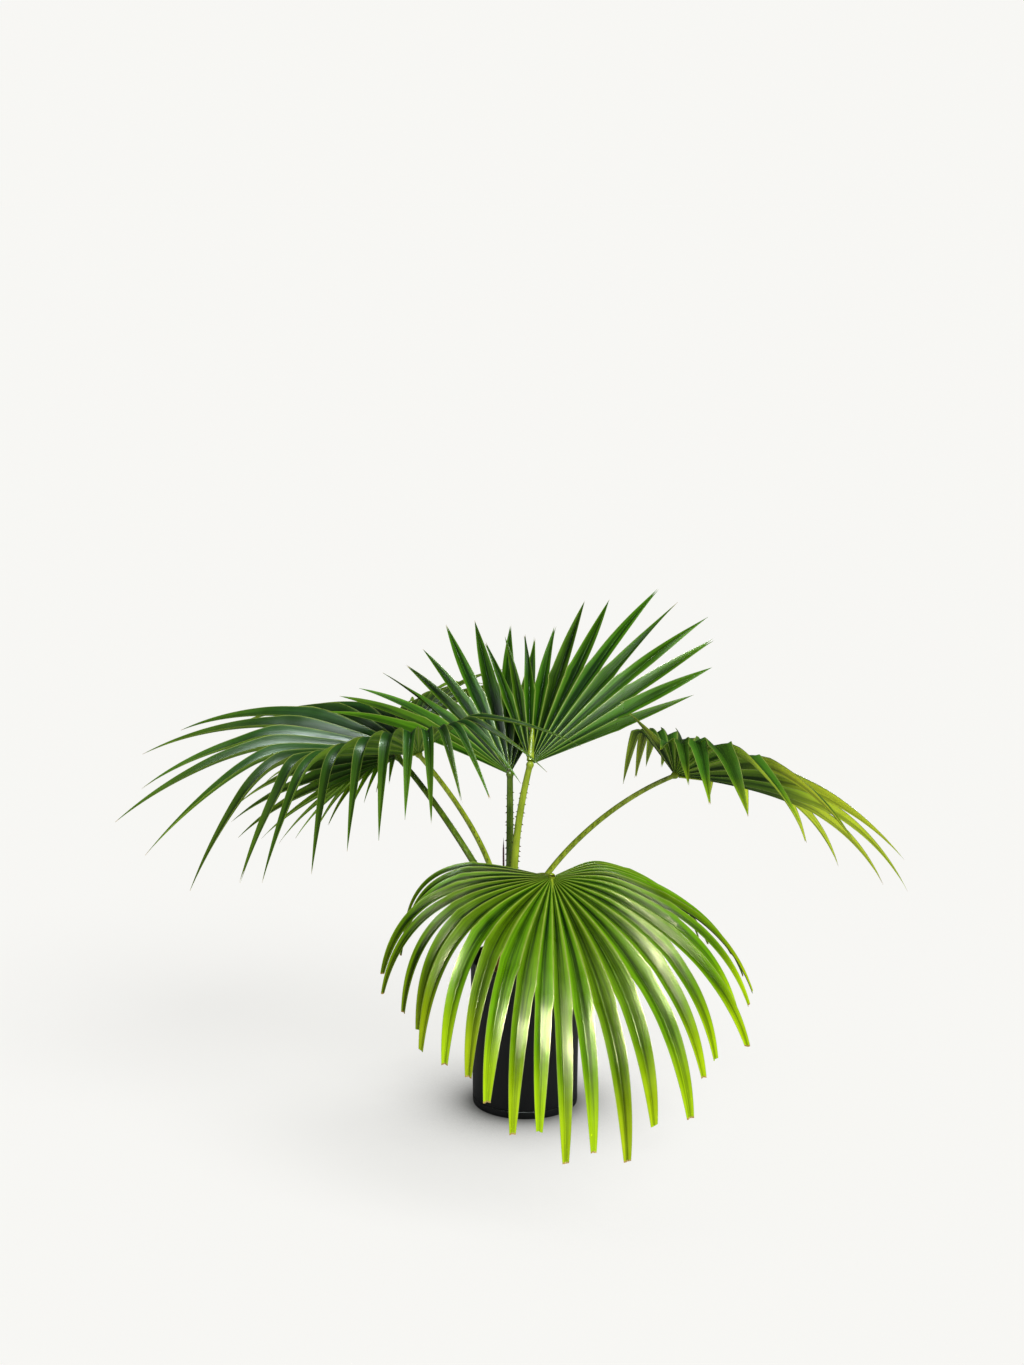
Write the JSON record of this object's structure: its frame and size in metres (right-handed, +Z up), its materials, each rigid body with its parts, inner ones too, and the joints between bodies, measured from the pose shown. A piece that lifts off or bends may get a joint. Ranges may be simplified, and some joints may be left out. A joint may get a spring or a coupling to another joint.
{
  "type": "chinese fan palm in a nursery pot",
  "caption": "Young fan palm in a plain black nursery pot, with pleated fans of split leaflets on arching toothed stalks over a short fibrous trunk.",
  "frame": {"origin": "middle of the pot's flat underside, at floor level", "axes": "+Z up, +X to the right and -Y to the front, as the plant is seen with its lowest fan nearest"},
  "size_m": [1.5137, 1.2203, 0.9948],
  "materials": {
    "pot": "satin moulded black",
    "soil": "rough damp bark and peat",
    "trunk": "dry matted fibre",
    "dead_spear": "dry, matt",
    "stalk": "smooth satin green",
    "blade": "glossy pleated leaf"
  },
  "bodies": {
    "root": {"pot": "pot", "soil": "soil", "trunk": "trunk", "dead_spear": "dead_spear", "stalk_right": "stalk", "stalk_left_a": "stalk", "stalk_left_b": "stalk", "stalk_up_left": "stalk", "stalk_up_right": "stalk", "stalk_front": "stalk", "blade_right_1": "blade", "blade_right_2": "blade", "blade_right_3": "blade", "blade_right_4": "blade", "blade_left_a_1": "blade", "blade_left_a_2": "blade", "blade_left_a_3": "blade", "blade_left_a_4": "blade", "blade_left_b_1": "blade", "blade_left_b_2": "blade", "blade_left_b_3": "blade", "blade_up_left_1": "blade", "blade_up_left_2": "blade", "blade_up_right_1": "blade", "blade_up_right_2": "blade", "blade_front_1": "blade", "blade_front_2": "blade", "blade_front_3": "blade", "blade_front_4": "blade"}
  },
  "joints": []
}
